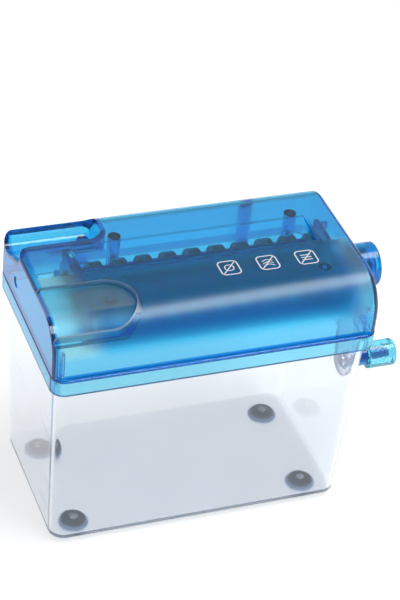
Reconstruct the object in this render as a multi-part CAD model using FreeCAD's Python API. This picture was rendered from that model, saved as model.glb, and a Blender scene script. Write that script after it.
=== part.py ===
import FreeCAD, Part
import math
import os

# Hand-cranked strip shredder: a clear bin on rubber feet, a lift-off translucent cover that
# carries a cassette of two interleaved cutter rollers, and a crank with a free-turning knob.
# Millimetres, +Z up, +X towards the crank. The working frame has x = 0 in the middle of the
# cover and z = 0 on the table; every solid is moved to the part's frame when it is written.

Vec = FreeCAD.Vector

# --- cover ---
coverLength = 166.0
coverDepth = 96.5
coverHeight = 139.4        # top of the cover above the table
hoodRise = 28.9            # top of the cover above its ledge
skirtDepth = 9.1           # from the ledge down to the skirt's lower edge
skirtCornerR = 7.0
skirtWall = 2.0
coverWall = 2.4
ledgeThick = 2.2
ledgeEdgeR = 1.0
sideInset = 0.3            # side wall behind the skirt
frontInset = 2.25
rearInset = 2.25
frontCurveR = 20.5
rearCurveR = 13.0
endEdgeR = 3.6
innerEdgeR = 0.8

# --- finger pocket at the rear left and thumb recess at the front left ---
pocketLength = 45.0        # from the cover's left end
pocketDepth = 25.0         # from the rear wall's outside to the pocket's front wall
pocketRearWall = 3.0
pocketFrontR = 9.0
pocketRearR = 5.0
pocketOuterR = 6.0         # where the front wall turns into the cover's left end
pocketWallDrop = 2.6       # where the front wall starts to curve into the floor, below the top
pocketCurveR = 7.0
pocketFloorRearR = 5.0     # between the floor and the rear wall
pocketFloorSlope = 20.4    # degrees, falling to the rear
recessLength = 45.0        # from the cover's left end
recessWidth = 28.5
recessFrontGap = 5.0       # behind the cover's front wall
recessDepth = 2.5
recessSkinDrop = 13.4      # lowest point of the wall that lines the recess, below the top

# --- paper slot ---
slotLeftRoom = 26.0        # from the cover's left end to the slot
slotRightRoom = 18.0
slotWidth = 5.8
slotLipDepth = 5.5
slotLipWall = 2.0
slotLipStep = 0.6          # rear lip below the front one
rampPocketGap = 0.6        # feed ramp clear of the pocket's lining
rampDrop = 4.2
slotRibGap = 0.6           # rib under the top at the slot's left end, behind the plate
slotRibThick = 1.8
slotRibReach = 4.5

# --- cutters ---
stripWidth = 6.35
discR = 9.0
discOverlap = 1.6
discSideGap = 0.15
discTopGap = 1.7           # discs below the lining of the thumb recess
nipY = -0.9
spacerDiscGap = 0.8        # spacers clear of the other roller's discs
shaftR = 3.0
slipFit = 0.05             # radial clearance of pieces slid on a shaft
runFit = 0.05              # radial clearance of a shaft in its bush

# --- gears ---
gearTeeth = 20
gearWidth = 4.4
gearSideGap = 0.1
gearBacklash = 0.12
pressureAngle = 20.0
gearRootGap = 0.25         # share of the module below the mating tip

# --- cassette ---
plateThick = 2.2
plateSideGap = 0.4
plateBelow = 2.3           # plates reach this far below the discs
plateAbove = 2.7           # and this far above the bushes
plateCornerR = 4.0
platePocketGap = 0.8
lugFrontReach = 3.1        # lugs forward of the nip
lugPocketGap = 4.1
lugTopGap = 0.1
flangeReach = 5.0
flangeThick = 1.7
flangeDrop = 2.0           # flange tops below the lug's top
flangeLift = 1.0           # front flange above the comb bar
bushWall = 1.5
bushFlangeReach = 1.1
bushFlange = 1.0
bushSeatGap = 0.02
clipWall = 1.8
clipSeatGap = 0.02
clipThick = 0.8
clipGap = 0.2
clipGrooveDepth = 0.5
clipBite = 0.6             # how much narrower the clip's mouth is than its groove
shaftEndOver = 1.2
combBarDepth = 7.7
combBarHeight = 4.7
combDiscGap = 2.2          # bars clear of the discs
combFingerWidth = 5.7
combFingerHeight = 4.1
combFingerGap = 0.4        # below the spacers
combNipGap = 3.0           # finger tips short of the nip
combEndGap = 0.05
bossR = 3.2
bossPilotR = 1.2
bossPilotDepth = 10.0
combScrewInset = 9.9       # from the plates
combScrewPocketGap = 5.0   # rear left screw beside the pocket
tieScrewLength = 5.0

# --- small screws ---
screwR = 1.2
screwClearR = 1.6
screwHeadR = 2.8
screwHeadHeight = 1.6
screwRecessR = 0.9
screwRecessDepth = 0.9
screwThreadGap = 0.01
screwTipGap = 1.0          # from a screw's tip to the end of its hole

# --- crank ---
crankHubR = 11.3
crankHubWall = 2.9
crankHubLength = 11.0
crankEndWall = 3.4
crankWallGap = 0.6         # arm clear of the cover's skirt
armThick = 5.4
armEndR = 8.3
armFit = 0.08
armBossWall = 2.0
armCollarR = 5.0           # collar round the knob's pin
armCollarLength = 7.6
shaftEndGap = 0.1
crankRadius = 56.44
crankLean = 3.96           # degrees the arm leans forward of straight down
sleeveWall = 2.0
wallHoleGap = 0.8
wallRingR = 8.5
wallRingHeight = 2.0
crankScrewR = 1.5
crankScrewLength = 9.0
crankScrewHeadR = 3.2
crankScrewSink = 2.2
crankScrewHeadFit = 0.2
crankScrewRecessR = 1.17
crankScrewRecessDepth = 1.2
crankEdgeR = 1.2

# --- knob ---
knobR = 7.15
knobLength = 15.0
knobGap = 0.4
knobEdgeR = 1.5
knobInnerEdgeR = 0.5
knobPinR = 2.7
knobPinSeatR = 3.4
knobPinSeatGap = 0.01
knobBearingLength = 7.5
knobNeckR = 2.5
knobNeckLength = 1.6
knobPocketR = 3.4
knobPocketLength = 4.0
prongR = 2.3
prongSlot = 1.2
barbR = 2.9
barbTipR = 1.9
barbLength = 2.2
barbGap = 0.3

# --- bin ---
binRestGap = 0.1           # between the rim and the underside of the ledge
binSkirtGap = 0.5
binWall = 2.0
binFloor = 2.2
binFlare = 3.4             # each side, from foot to rim
binCornerR = 8.0
binBottomEdgeR = 1.6
footInsetX = 18.5          # from the rim's outside
footInsetY = 17.75
footHeight = 3.0
footBaseR = 7.7
footShoulderR = 7.0
footTopR = 6.0
footBaseHeight = 1.0
rivetHeadR = 3.0
rivetHeadHeight = 0.9
rivetHeadSink = 0.5
rivetR = 1.5
rivetFit = 0.05
rivetTipR = 2.1
rivetTipEndR = 1.1
rivetTipHeight = 0.8

# --- small cover features ---
postInset = 40.0           # posts inside the rear wall that keep the cover central on the bin
postR = 3.5
postBinGap = 0.6
postReach = 4.5            # below the bin's rim
cornerRibInset = 5.5
cornerRibThick = 1.0
cornerRibReach = 3.0
cornerRibDrop = 16.4       # top of the rib below the cover's top
dimpleInset = 26.0         # from the rear wall
dimpleDrop = 19.4
dimpleR = 3.0
dimpleDepth = 0.5

# --- how far a cutting tool runs past the face it cuts ---
past = 1.0
farPast = 10.0

# --- sizes that follow from those above ---
halfLength = coverLength / 2
halfDepth = coverDepth / 2
wallX = halfLength - sideInset
frontY = -halfDepth + frontInset
rearY = halfDepth - rearInset
ledgeHeight = coverHeight - hoodRise
ledgeUnder = ledgeHeight - ledgeThick
skirtBottom = ledgeHeight - skirtDepth
pocketEndX = -halfLength + pocketLength
pocketFrontY = rearY - pocketDepth
pocketRearY = rearY - pocketRearWall
pocketWallFoot = coverHeight - pocketWallDrop
recessTipX = -halfLength + recessLength
recessFrontY = frontY + recessFrontGap
recessRearY = recessFrontY + recessWidth
recessSkinFoot = coverHeight - recessSkinDrop
axisGap = 2 * discR - discOverlap
frontAxisY = nipY - axisGap / 2
rearAxisY = nipY + axisGap / 2
rollerHeight = coverHeight - recessDepth - coverWall - discTopGap - discR
spacerR = axisGap - discR - spacerDiscGap
slotStartX = -halfLength + slotLeftRoom
slotEndX = halfLength - slotRightRoom
slotCentreX = (slotStartX + slotEndX) / 2
slotFrontY = nipY - slotWidth / 2
slotRearY = nipY + slotWidth / 2
rampEndY = pocketFrontY - coverWall - rampPocketGap
# an odd number of discs, so the front roller carries one more than the rear one
stripCount = 2 * int(((slotEndX - slotStartX) / stripWidth - 1) / 2) + 1
gearModule = axisGap / gearTeeth
gearStartX = slotEndX + gearSideGap
leftPlateIn = slotStartX - slotLipWall - plateSideGap
leftPlateOut = leftPlateIn - plateThick
rightPlateIn = gearStartX + gearWidth + plateSideGap
rightPlateOut = rightPlateIn + plateThick
stackStartX = leftPlateIn + plateSideGap
bushR = shaftR + bushWall
bushFlangeR = bushR + bushFlangeReach
clipR = shaftR + clipWall
clipMouth = 2 * (shaftR - clipGrooveDepth) - clipBite
plateFoot = rollerHeight - discR - plateBelow
plateShoulder = rollerHeight + bushR + plateAbove
combTop = plateFoot + combBarHeight
frontBarRear = frontAxisY - discR - combDiscGap
rearBarFront = rearAxisY + discR + combDiscGap
plateFrontY = frontBarRear - combBarDepth
plateRearY = rearBarFront + combBarDepth
plateUpperRearY = pocketFrontY - coverWall - platePocketGap
lugFrontY = nipY - lugFrontReach
lugRearY = pocketFrontY - coverWall - lugPocketGap
combScrewLeftX = leftPlateIn + combScrewInset
combScrewRightX = rightPlateIn - combScrewInset
combScrewRearLeftX = pocketEndX + combScrewPocketGap
armBossR = shaftR + armBossWall
sleeveR = shaftR + sleeveWall
armStartX = halfLength + crankWallGap
armEndX = armStartX + armThick
hubEndX = armStartX + crankHubLength
hubCavityEnd = hubEndX - crankEndWall
hubCavityR = crankHubR - crankHubWall
armCollarEndX = armEndX + armCollarLength
knobStartX = armCollarEndX + knobGap
knobEndX = knobStartX + knobLength
knobBearingEndX = knobStartX + knobBearingLength
knobNeckEndX = knobBearingEndX + knobNeckLength
knobY = frontAxisY - crankRadius * math.sin(math.radians(crankLean))
knobZ = rollerHeight - crankRadius * math.cos(math.radians(crankLean))
rimHeight = ledgeUnder - binRestGap
rimLength = coverLength - 2 * (skirtWall + binSkirtGap)
rimDepth = coverDepth - 2 * (skirtWall + binSkirtGap)
footX = rimLength / 2 - footInsetX
footY = rimDepth / 2 - footInsetY
postX = halfLength - postInset
postY = rimDepth / 2 - binWall - postBinGap - postR
cornerRibX = halfLength - cornerRibInset
cornerRibTop = coverHeight - cornerRibDrop
dimpleY = rearY - dimpleInset
dimpleZ = coverHeight - dimpleDrop
placeInFrame = Vec((halfLength - knobEndX) / 2, 0, 0)

xAxis = Vec(1, 0, 0)
zAxis = Vec(0, 0, 1)


def block(x0, x1, y0, y1, z0, z1):
    return Part.makeBox(x1 - x0, y1 - y0, z1 - z0, Vec(x0, y0, z0))


def rodX(radius, x0, x1, y, z):
    return Part.makeCylinder(radius, x1 - x0, Vec(x0, y, z), xAxis)


def rodZ(radius, z0, z1, x, y):
    return Part.makeCylinder(radius, z1 - z0, Vec(x, y, z0), zAxis)


def fuseAll(shapes):
    return shapes[0].multiFuse(shapes[1:]).removeSplitter()


def edgesWhere(shape, test):
    return [edge for edge in shape.Edges if test(edge)]


def roundedWire(length, depth, radius, z):
    hx = length / 2
    hy = depth / 2
    k = radius * (1 - math.sqrt(0.5))
    edges = []
    corners = [(1, 1), (-1, 1), (-1, -1), (1, -1)]
    ends = []
    for sx, sy in corners:
        onX = Vec(sx * (hx - radius), sy * hy, z)
        onY = Vec(sx * hx, sy * (hy - radius), z)
        middle = Vec(sx * (hx - k), sy * (hy - k), z)
        pair = (onY, onX) if sx * sy > 0 else (onX, onY)
        edges.append(Part.Arc(pair[0], middle, pair[1]).toShape())
        ends.append(pair)
    for i in range(4):
        edges.append(Part.makeLine(ends[i][1], ends[(i + 1) % 4][0]))
    return Part.Wire(Part.__sortEdges__(edges))


def roundedPrism(length, depth, radius, z0, z1):
    return Part.Face(roundedWire(length, depth, radius, z0)).extrude(Vec(0, 0, z1 - z0))


def faceX(points, x):
    # points are (y, z); a point given as (y, z, y2, z2) ends an arc that passes through (y, z)
    edges = []
    at = Vec(x, points[0][0], points[0][1])
    for point in points[1:] + points[:1]:
        end = Vec(x, point[-2], point[-1])
        if len(point) == 4:
            edges.append(Part.Arc(at, Vec(x, point[0], point[1]), end).toShape())
        elif (end - at).Length > 1e-6:
            edges.append(Part.makeLine(at, end))
        at = end
    return Part.Face(Part.Wire(edges))


def prismX(points, x0, x1):
    return faceX(points, x0).extrude(Vec(x1 - x0, 0, 0))


def coverSection(inset, x0, x1, bottom):
    top = coverHeight - inset
    front = frontY + inset
    rear = rearY - inset
    frontC = (frontY + frontCurveR, coverHeight - frontCurveR)
    rearC = (rearY - rearCurveR, coverHeight - rearCurveR)
    slant = math.sqrt(0.5)
    frontR = frontCurveR - inset
    rearR = rearCurveR - inset
    return prismX([
        (front, bottom),
        (front, frontC[1]),
        (frontC[0] - frontR * slant, frontC[1] + frontR * slant, frontC[0], top),
        (rearC[0], top),
        (rearC[0] + rearR * slant, rearC[1] + rearR * slant, rear, rearC[1]),
        (rear, bottom),
    ], x0, x1)


def coverHood(inset, bottom):
    half = wallX - inset
    hood = coverSection(inset, -half, half, bottom)
    ends = edgesWhere(hood, lambda e: abs(e.CenterOfMass.x) > half - 1e-4
                      and e.CenterOfMass.z > bottom + 1e-3)
    return hood.makeFillet(max(endEdgeR - inset, innerEdgeR), ends)


def pocketTool(inset):
    # inset 0 gives the room of the pocket, coverWall gives the skin that lines it
    slope = math.radians(pocketFloorSlope)
    low = ledgeHeight
    high = coverHeight + farPast
    x0 = -halfLength - farPast
    x1 = pocketEndX + inset
    wallY = pocketFrontY - inset
    rearWallY = pocketRearY + inset
    frontC = (pocketFrontY + pocketCurveR, pocketWallFoot)
    frontR = pocketCurveR + inset
    turn = math.pi / 2 - slope
    curveMid = (frontC[0] - frontR * math.cos(turn / 2), frontC[1] - frontR * math.sin(turn / 2))
    curveEnd = (frontC[0] - frontR * math.cos(turn), frontC[1] - frontR * math.sin(turn))

    def floorZ(y):
        return curveEnd[1] - (y - curveEnd[0]) * math.tan(slope)

    # the front wall, straight and then turned round the cover's left corner
    wall = faceX([(wallY, high), (wallY, frontC[1]), curveMid + curveEnd, (curveEnd[0], low),
                  (halfDepth + farPast, low), (halfDepth + farPast, high)],
                 pocketOuterR - wallX)
    straight = wall.extrude(Vec(x1 + wallX - pocketOuterR, 0, 0))
    corner = wall.revolve(Vec(pocketOuterR - wallX, pocketFrontY - pocketOuterR, 0), zAxis, 90)
    # the rounded plan at the right end
    plan = block(x0, x1, wallY, rearWallY, low, high)
    for y, radius in ((wallY, pocketFrontR + inset), (rearWallY, pocketRearR + inset)):
        upright = edgesWhere(plan, lambda e: abs(e.CenterOfMass.x - x1) < 1e-3
                             and abs(e.CenterOfMass.y - y) < 1e-3)
        plan = plan.makeFillet(radius, upright)
    # the sloping floor and the rear wall
    rearR = pocketFloorRearR + inset
    rearC = (rearWallY - rearR, floorZ(rearWallY - rearR) + rearR / math.cos(slope))
    middle = -(math.pi / 2 + slope) / 2
    startY = pocketFrontY - pocketOuterR - past
    limit = prismX([
        (startY, high), (startY, floorZ(startY)),
        (rearC[0] - rearR * math.sin(slope), rearC[1] - rearR * math.cos(slope)),
        (rearC[0] + rearR * math.cos(middle), rearC[1] + rearR * math.sin(middle),
         rearWallY, rearC[1]),
        (rearWallY, high),
    ], x0, x1)
    return straight.common(plan).fuse(corner).common(limit)


def recessPlan(inset):
    radius = (recessRearY - recessFrontY) / 2 + inset
    centreY = (recessRearY + recessFrontY) / 2
    centreX = recessTipX - (radius - inset)
    high = coverHeight + farPast
    box = block(-halfLength - farPast, centreX, centreY - radius, centreY + radius,
                recessSkinFoot, high)
    return box.fuse(rodZ(radius, recessSkinFoot, high, centreX, centreY))


def bossPlaces():
    frontBossY = plateFrontY + combBarDepth / 2
    rearBossY = plateRearY - combBarDepth / 2
    return [(combScrewLeftX, frontBossY), (combScrewRightX, frontBossY),
            (combScrewRearLeftX, rearBossY), (combScrewRightX, rearBossY)]


def topCover():
    skirt = roundedPrism(coverLength, coverDepth, skirtCornerR, skirtBottom, ledgeHeight)
    rim = edgesWhere(skirt, lambda e: all(abs(v.Z - ledgeHeight) < 1e-4 for v in e.Vertexes))
    skirt = skirt.makeFillet(ledgeEdgeR, rim)
    outer = skirt.fuse(coverHood(0, ledgeHeight - ledgeThick / 2))
    skirtRoom = roundedPrism(coverLength - 2 * skirtWall, coverDepth - 2 * skirtWall,
                             skirtCornerR - skirtWall, skirtBottom - past, ledgeUnder)
    shell = outer.cut(skirtRoom.fuse(coverHood(coverWall, skirtBottom)))

    solids = [shell]
    for x, y in bossPlaces():
        solids.append(rodZ(bossR, combTop, coverHeight - coverWall / 2, x, y))
    # lips of the slot and the skin under the feed ramp
    lipBottom = coverHeight - slotLipDepth
    skin = coverHeight - coverWall
    solids.append(prismX([
        (slotFrontY - slotLipWall, coverHeight), (slotFrontY - slotLipWall, lipBottom),
        (slotRearY + slotLipWall, lipBottom - slotLipStep), (rampEndY, skin), (rampEndY, coverHeight),
    ], slotStartX - slotLipWall, slotEndX + slotLipWall))
    solids.append(block(slotStartX - slotRibReach, slotStartX, lugRearY + slotRibGap,
                        lugRearY + slotRibGap + slotRibThick, lipBottom, coverHeight - coverWall / 2))
    # skins that line the finger pocket and the thumb recess
    solids.append(outer.common(pocketTool(coverWall)))
    sunk = coverSection(recessDepth + coverWall, -coverLength, coverLength, ledgeHeight)
    solids.append(outer.common(recessPlan(coverWall)).cut(sunk))
    # posts behind the rollers, ribs in the front corners and the ring round the crank's hole
    for side in (-1, 1):
        post = rodZ(postR, rimHeight - postReach, coverHeight, side * postX, postY)
        solids.append(post.common(outer.fuse(skirtRoom)))
    for side in (-1, 1):
        x = side * cornerRibX
        solids.append(block(x - cornerRibThick / 2, x + cornerRibThick / 2, frontY + coverWall / 2,
                            frontY + coverWall + cornerRibReach, ledgeUnder, cornerRibTop))
    solids.append(rodX(wallRingR, wallX - coverWall - wallRingHeight,
                       wallX - coverWall / 2,
                       frontAxisY, rollerHeight))
    cover = fuseAll(solids)

    cuts = [pocketTool(0)]
    floorOfRecess = coverSection(recessDepth, -coverLength, coverLength, ledgeHeight)
    cuts.append(recessPlan(0).cut(floorOfRecess))
    cuts.append(block(slotStartX, slotEndX, slotFrontY, slotRearY, rollerHeight,
                      coverHeight + past))
    cuts.append(prismX([(nipY, coverHeight - rampDrop), (slotRearY, coverHeight - rampDrop),
                        (rampEndY, coverHeight), (rampEndY, coverHeight + past),
                        (nipY, coverHeight + past)], slotStartX, slotEndX))
    cuts.append(rodX(sleeveR + wallHoleGap, rightPlateOut, halfLength, frontAxisY, rollerHeight))
    for x, y in bossPlaces():
        cuts.append(rodZ(bossPilotR, combTop - past, combTop + bossPilotDepth, x, y))
    for side in (-1, 1):
        inner = side * (wallX - dimpleDepth)
        outerX = side * (wallX + past)
        cuts.append(rodX(dimpleR, min(inner, outerX), max(inner, outerX), dimpleY, dimpleZ))
    for cut in cuts:
        cover = cover.cut(cut)
    return cover.removeSplitter()


def binShell():
    depth = rimHeight - footHeight

    def tub(inset, z0, z1):
        wires = []
        for z in (z0, z1):
            flare = 2 * binFlare * (rimHeight - z) / depth
            wires.append(roundedWire(rimLength - flare - 2 * inset, rimDepth - flare - 2 * inset,
                                     binCornerR - inset, z))
        return Part.makeLoft(wires, True, True)

    outer = tub(0, footHeight, rimHeight)
    foot = edgesWhere(outer, lambda e: all(abs(v.Z - footHeight) < 1e-4 for v in e.Vertexes))
    outer = outer.makeFillet(binBottomEdgeR, foot)
    shell = outer.cut(tub(binWall, footHeight + binFloor, rimHeight + past))
    for x, y in footPlaces():
        shell = shell.cut(rodZ(rivetR + rivetFit, 0, footHeight + 2 * binFloor, x, y))
    return shell


def footPlaces():
    return [(sx * footX, sy * footY) for sx in (-1, 1) for sy in (-1, 1)]


def rubberFoot(x, y):
    base = rodZ(footBaseR, 0, footBaseHeight, x, y)
    cone = Part.makeCone(footShoulderR, footTopR, footHeight - footBaseHeight,
                         Vec(x, y, footBaseHeight), zAxis)
    foot = base.fuse(cone)
    sink = rodZ(rivetHeadR + rivetFit, -past, rivetHeadSink + rivetHeadHeight, x, y)
    return foot.cut(sink).cut(rodZ(rivetR + rivetFit, -past, footHeight + past, x, y))


def footRivet(x, y):
    floorTop = footHeight + binFloor
    head = rodZ(rivetHeadR, rivetHeadSink, rivetHeadSink + rivetHeadHeight, x, y)
    shank = rodZ(rivetR, rivetHeadSink, floorTop, x, y)
    tip = Part.makeCone(rivetTipR, rivetTipEndR, rivetTipHeight, Vec(x, y, floorTop), zAxis)
    return fuseAll([head, shank, tip])


def discCentre(index):
    return slotCentreX + (index - (stripCount - 1) / 2) * stripWidth


def discs(first, y):
    half = (stripWidth - discSideGap) / 2
    made = []
    for index in range(first, stripCount, 2):
        x = discCentre(index)
        disc = rodX(discR, x - half, x + half, y, rollerHeight)
        made.append(disc.cut(rodX(shaftR + slipFit, x - half, x + half, y, rollerHeight)))
    return made


def spacers(first, y):
    half = (stripWidth - discSideGap) / 2
    ends = [stackStartX]
    for index in range(first, stripCount, 2):
        ends += [discCentre(index) - half, discCentre(index) + half]
    ends.append(slotEndX)
    made = []
    for x0, x1 in zip(ends[0::2], ends[1::2]):
        ring = rodX(spacerR, x0, x1, y, rollerHeight)
        made.append(ring.cut(rodX(shaftR + slipFit, x0, x1, y, rollerHeight)))
    return made


def gear(y, facing):
    # facing is the angle in the YZ plane at which a tooth is centred
    pitchR = axisGap / 2
    baseR = pitchR * math.cos(math.radians(pressureAngle))
    tipR = pitchR + gearModule
    rootR = pitchR - gearModule * (1 + gearRootGap)
    halfTooth = (math.pi * gearModule / 2 - gearBacklash) / (2 * pitchR)
    involute = lambda r: math.sqrt((r / baseR) ** 2 - 1) - math.acos(baseR / r)
    radii = [baseR, (baseR + pitchR) / 2, pitchR, (pitchR + tipR) / 2, tipR]
    flank = [(rootR, halfTooth + involute(pitchR))]
    flank += [(r, halfTooth + involute(pitchR) - involute(r)) for r in radii]
    points = []
    for tooth in range(gearTeeth):
        middle = facing + tooth * 2 * math.pi / gearTeeth
        rise = [(r, middle - a) for r, a in flank]
        fall = [(r, middle + a) for r, a in reversed(flank)]
        for r, a in rise + fall:
            points.append(Vec(gearStartX, y + r * math.cos(a), rollerHeight + r * math.sin(a)))
    wire = Part.makePolygon(points + [points[0]])
    body = Part.Face(wire).extrude(Vec(gearWidth, 0, 0))
    return body.cut(rodX(shaftR + slipFit, gearStartX, gearStartX + gearWidth, y, rollerHeight))


def sidePlate(innerX, side):
    outX = innerX + side * plateThick
    x0, x1 = min(innerX, outX), max(innerX, outX)
    lugTop = coverHeight - coverWall - lugTopGap
    plate = block(x0, x1, plateFrontY, plateUpperRearY, plateFoot, plateShoulder)
    corners = edgesWhere(plate, lambda e: abs(e.Length - plateThick) < 1e-4
                         and e.CenterOfMass.z > plateShoulder - 1e-3)
    plate = plate.makeFillet(plateCornerR, corners)
    pieces = [plate, block(x0, x1, lugFrontY, lugRearY, plateShoulder - past, lugTop),
              block(x0, x1, plateFrontY, plateRearY, plateFoot, combTop + flangeLift)]
    tip = outX + side * flangeReach
    f0, f1 = min(outX, tip), max(outX, tip)
    if side > 0:
        for y in (lugFrontY, lugRearY - flangeThick):
            pieces.append(block(f0, f1, y, y + flangeThick, plateShoulder, lugTop - flangeDrop))
    pieces.append(block(f0, f1, plateFrontY, plateFrontY + flangeThick,
                        combTop + flangeLift, plateShoulder - plateCornerR))
    plate = fuseAll(pieces)
    for y in (frontAxisY, rearAxisY):
        plate = plate.cut(rodX(bushR + bushSeatGap, x0 - past, x1 + past, y, rollerHeight))
    for y, z in tiePlaces():
        plate = plate.cut(rodX(screwClearR, x0 - past, x1 + past, y, z))
    return plate


def tiePlaces():
    z = plateFoot + combBarHeight / 2
    return [(plateFrontY + combBarDepth / 2, z), (plateRearY - combBarDepth / 2, z)]


def bush(innerX, side, y):
    outX = innerX + side * plateThick
    endX = outX + side * bushFlange
    body = rodX(bushR, min(innerX, outX), max(innerX, outX), y, rollerHeight)
    flange = rodX(bushFlangeR, min(outX, endX), max(outX, endX), y, rollerHeight)
    bore = rodX(shaftR + runFit, min(innerX, endX) - past, max(innerX, endX) + past, y,
                rollerHeight)
    return fuseAll([body, flange]).cut(bore)


def clipStart(side):
    # the face of the clip that is nearest to the bush
    out = rightPlateOut if side > 0 else leftPlateOut
    return out + side * (bushFlange + clipGap)


def clipGroove(side, y):
    start = clipStart(side)
    end = start + side * clipThick
    x0, x1 = min(start, end), max(start, end)
    ring = rodX(clipR, x0, x1, y, rollerHeight)
    return ring.cut(rodX(shaftR - clipGrooveDepth, x0, x1, y, rollerHeight))


def clip(side, y):
    start = clipStart(side)
    end = start + side * clipThick
    x0, x1 = min(start, end), max(start, end)
    ring = rodX(clipR, x0, x1, y, rollerHeight)
    ring = ring.cut(rodX(shaftR - clipGrooveDepth + clipSeatGap, x0, x1, y, rollerHeight))
    return ring.cut(block(x0 - past, x1 + past, y - clipMouth / 2, y + clipMouth / 2,
                          rollerHeight, rollerHeight + clipR + past))


def shaftEnd(side):
    return clipStart(side) + side * (clipThick + shaftEndOver)


def frontShaft():
    shaft = rodX(shaftR, shaftEnd(-1), hubCavityEnd - shaftEndGap, frontAxisY, rollerHeight)
    shaft = shaft.cut(clipGroove(-1, frontAxisY))
    tapped = rodX(crankScrewR, hubEndX - crankScrewSink - crankScrewLength, hubEndX,
                  frontAxisY, rollerHeight)
    return shaft.cut(tapped)


def rearShaft():
    shaft = rodX(shaftR, shaftEnd(-1), shaftEnd(1), rearAxisY, rollerHeight)
    return shaft.cut(clipGroove(-1, rearAxisY)).cut(clipGroove(1, rearAxisY))


def comb(barFront, barRear, tipY, first):
    pieces = [block(leftPlateIn + combEndGap, rightPlateIn - combEndGap, barFront, barRear,
                    plateFoot, combTop)]
    fingerTop = min(plateFoot + combFingerHeight, rollerHeight - spacerR - combFingerGap)
    for index in range(first, stripCount - 1, 2):
        x = discCentre(index)
        y0, y1 = (barRear - past, tipY) if tipY > barRear else (tipY, barFront + past)
        pieces.append(block(x - combFingerWidth / 2, x + combFingerWidth / 2, y0, y1,
                            plateFoot, fingerTop))
    made = fuseAll(pieces)
    for x, y in bossPlaces():
        if barFront < y < barRear:
            made = made.cut(rodZ(screwClearR, plateFoot - past, combTop + past, x, y))
    for y, z in tiePlaces():
        if barFront < y < barRear:
            made = made.cut(rodX(screwR, leftPlateIn, leftPlateIn + tieScrewLength, y, z))
            made = made.cut(rodX(screwR, rightPlateIn - tieScrewLength, rightPlateIn, y, z))
    return made


def screw(seat, direction, length):
    # seat is the middle of the face that the head bears on
    shank = Part.makeCylinder(screwR - screwThreadGap, length, seat, direction)
    head = Part.makeCylinder(screwHeadR, screwHeadHeight, seat, direction * -1)
    crown = edgesWhere(head, lambda e: (e.CenterOfMass - seat).dot(direction)
                       < -screwHeadHeight + 1e-3 and len(e.Vertexes) == 1)
    head = head.makeFillet(screwHeadHeight / 3, crown)
    top = seat - direction * screwHeadHeight
    recess = Part.makeCylinder(screwRecessR, screwRecessDepth, top, direction)
    return head.fuse(shank).cut(recess)


def tieScrews():
    made = []
    for y, z in tiePlaces():
        made.append(screw(Vec(leftPlateOut, y, z), xAxis, plateThick + tieScrewLength - screwTipGap))
        made.append(screw(Vec(rightPlateOut, y, z), xAxis * -1, plateThick + tieScrewLength - screwTipGap))
    return made


def combScrews():
    return [screw(Vec(x, y, plateFoot), zAxis, combBarHeight + bossPilotDepth - screwTipGap)
            for x, y in bossPlaces()]


def armOutline(grow, x0, x1):
    # round ends at the hub and the knob, joined by straight sides
    along = Vec(0, knobY - frontAxisY, knobZ - rollerHeight)
    span = along.Length
    radius = armEndR + grow
    plain = block(x0, x1, -radius, radius, 0, span)
    hub = rodX(radius, x0, x1, 0, 0)
    tip = rodX(radius, x0, x1, 0, span)
    arm = fuseAll([plain, hub, tip])
    turn = math.degrees(math.atan2(-along.y, along.z))
    arm.rotate(Vec(0, 0, 0), xAxis, turn)
    arm.translate(Vec(0, frontAxisY, rollerHeight))
    return arm


def crankHub():
    drum = rodX(crankHubR, armStartX, hubEndX, frontAxisY, rollerHeight)
    rim = edgesWhere(drum, lambda e: all(abs(v.X - hubEndX) < 1e-4 for v in e.Vertexes))
    drum = drum.makeFillet(crankEdgeR, rim)
    cavity = rodX(hubCavityR, armStartX - past, hubCavityEnd, frontAxisY, rollerHeight)
    hub = drum.cut(cavity).cut(armOutline(armFit, armStartX - past, armEndX + armFit))
    hub = hub.cut(rodX(screwClearR, hubCavityEnd - past, hubEndX + past, frontAxisY, rollerHeight))
    return hub.cut(rodX(crankScrewHeadR + crankScrewHeadFit, hubEndX - crankScrewSink, hubEndX + past,
                        frontAxisY, rollerHeight))


def crankArm():
    arm = armOutline(0, armStartX, armEndX)
    boss = rodX(armBossR, armStartX, hubCavityEnd, frontAxisY, rollerHeight)
    collar = rodX(armCollarR, armStartX, armCollarEndX, knobY, knobZ)
    arm = fuseAll([arm, boss, collar])
    bore = rodX(shaftR + slipFit, armStartX, hubCavityEnd, frontAxisY, rollerHeight)
    return arm.cut(bore).cut(rodX(knobPinSeatR, armStartX, armCollarEndX, knobY, knobZ))


def crankSleeve():
    sleeve = rodX(sleeveR, clipStart(1), armStartX, frontAxisY, rollerHeight)
    return sleeve.cut(rodX(shaftR + slipFit, clipStart(1), armStartX, frontAxisY, rollerHeight))


def crankScrew():
    seatX = hubEndX - crankScrewSink
    tipX = seatX - crankScrewLength + screwTipGap
    top = hubEndX - crankScrewHeadFit
    head = rodX(crankScrewHeadR, seatX, top, frontAxisY, rollerHeight)
    shank = rodX(crankScrewR - screwThreadGap, tipX, seatX, frontAxisY, rollerHeight)
    recess = rodX(crankScrewRecessR, top - crankScrewRecessDepth, top, frontAxisY, rollerHeight)
    return head.fuse(shank).cut(recess)


def knobPin():
    barbStart = knobNeckEndX + barbGap
    tipEnd = barbStart + barbLength
    seat = rodX(knobPinSeatR - knobPinSeatGap, armStartX, armCollarEndX, knobY, knobZ)
    bearing = rodX(knobPinR, armStartX, knobBearingEndX, knobY, knobZ)
    prongs = rodX(prongR, armStartX, tipEnd, knobY, knobZ)
    barb = Part.makeCone(barbR, barbTipR, barbLength, Vec(barbStart, knobY, knobZ), xAxis)
    pin = fuseAll([seat, bearing, prongs, barb])
    return pin.cut(block(knobBearingEndX, tipEnd, knobY - prongSlot / 2, knobY + prongSlot / 2,
                         knobZ - barbR, knobZ + barbR))


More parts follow.
